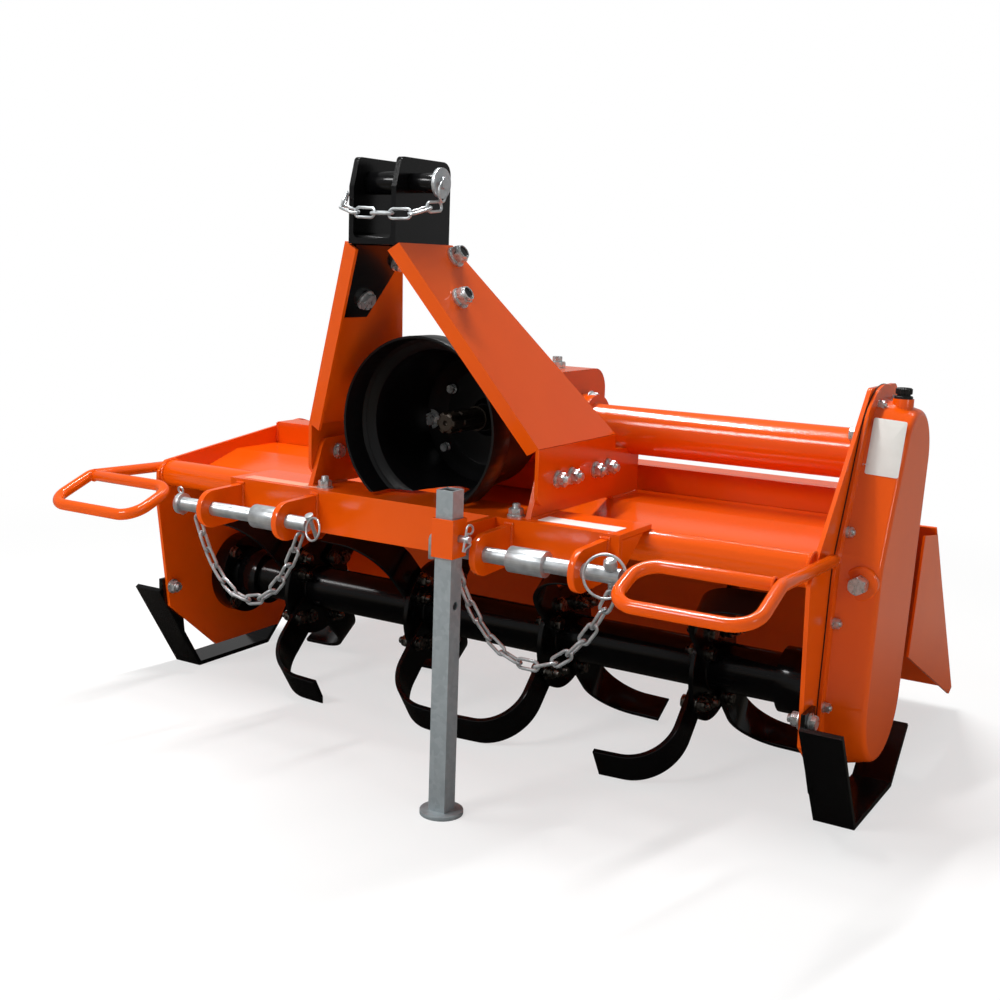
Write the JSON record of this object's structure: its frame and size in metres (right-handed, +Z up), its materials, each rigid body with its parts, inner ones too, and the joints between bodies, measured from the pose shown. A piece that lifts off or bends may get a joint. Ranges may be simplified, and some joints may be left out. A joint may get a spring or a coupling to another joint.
{
  "type": "rotary tiller",
  "caption": "Rotary tiller for a three-point hitch: a shaft-driven rotor of curved blades under a hood, with chain case, mast, skids, parking stand and hinged rear flap.",
  "frame": {"origin": "centre of the machine's footprint box, on the ground", "axes": "+X across the machine to its chain case side, -Y forwards to the tractor, +Z up"},
  "size_m": [1.3106, 0.9662, 0.906],
  "materials": {
    "orange_paint": "gloss powder coat",
    "black_paint": "gloss enamel",
    "zinc_plate": "bright zinc plate",
    "galvanised": "galvanised",
    "bare_steel": "oiled bare steel",
    "black_plastic": "satin moulded"
  },
  "bodies": {
    "frame": {"side_plate_left": "orange_paint", "side_plate_right": "orange_paint", "front_tube": "orange_paint", "hitch_beam": "orange_paint", "hood": "orange_paint", "rear_crossbar": "orange_paint", "hitch_ears_left": "orange_paint", "lower_pin_left": "zinc_plate", "hitch_bush_left": "zinc_plate", "hitch_ears_right": "orange_paint", "lower_pin_right": "zinc_plate", "hitch_bush_right": "zinc_plate", "brace_right": "orange_paint", "brace_left": "orange_paint", "mast_bracket": "black_paint", "top_pin": "zinc_plate", "top_bush": "black_paint", "top_spacer": "black_paint", "upright_right": "orange_paint", "upright_left": "orange_paint", "gearbox": "orange_paint", "input_bearing": "orange_paint", "drive_tube": "orange_paint", "support_tube": "orange_paint", "input_guard": "black_paint", "guard_cone": "black_paint", "chain_case": "orange_paint", "case_breather": "black_plastic", "rotor_bearing_left": "black_paint", "rotor_bearing_right": "black_paint", "skid_left": "black_paint", "skid_right": "black_paint", "loop_right": "orange_paint", "loop_left": "orange_paint", "stand_socket": "orange_paint", "stand_pin": "zinc_plate", "chain_left": "zinc_plate", "chain_right": "zinc_plate", "chain_top": "zinc_plate", "flap_rod": "zinc_plate"},
    "rotor": {"tine_set_1": "black_paint", "tine_set_2": "black_paint", "tine_set_3": "black_paint", "tine_set_4": "black_paint", "rotor_tube": "black_paint"},
    "input": {"input_shaft": "bare_steel"},
    "stand": {"stand_leg": "galvanised"},
    "flap": {"rear_flap": "orange_paint"}
  },
  "joints": [
    {"name": "rotor_spin", "type": "hinge", "parent": "frame", "child": "rotor", "pos_m": [0, -0.04212, 0.167], "axis": [1, 0, 0], "continuous": true},
    {"name": "input_spin", "type": "hinge", "parent": "frame", "child": "input", "pos_m": [0, -0.22412, 0.523], "axis": [0, -1, 0], "continuous": true},
    {"name": "stand_slide", "type": "slide", "parent": "frame", "child": "stand", "axis": [0, 0, 1], "range_m": [0, 0.24]},
    {"name": "flap_hinge", "type": "hinge", "parent": "frame", "child": "flap", "pos_m": [0, 0.22988, 0.384], "axis": [1, 0, 0], "range_deg": [0, 50]}
  ],
  "couplings": [
    {"joint": "input_spin", "follows": "rotor_spin", "ratio": 2.5}
  ]
}
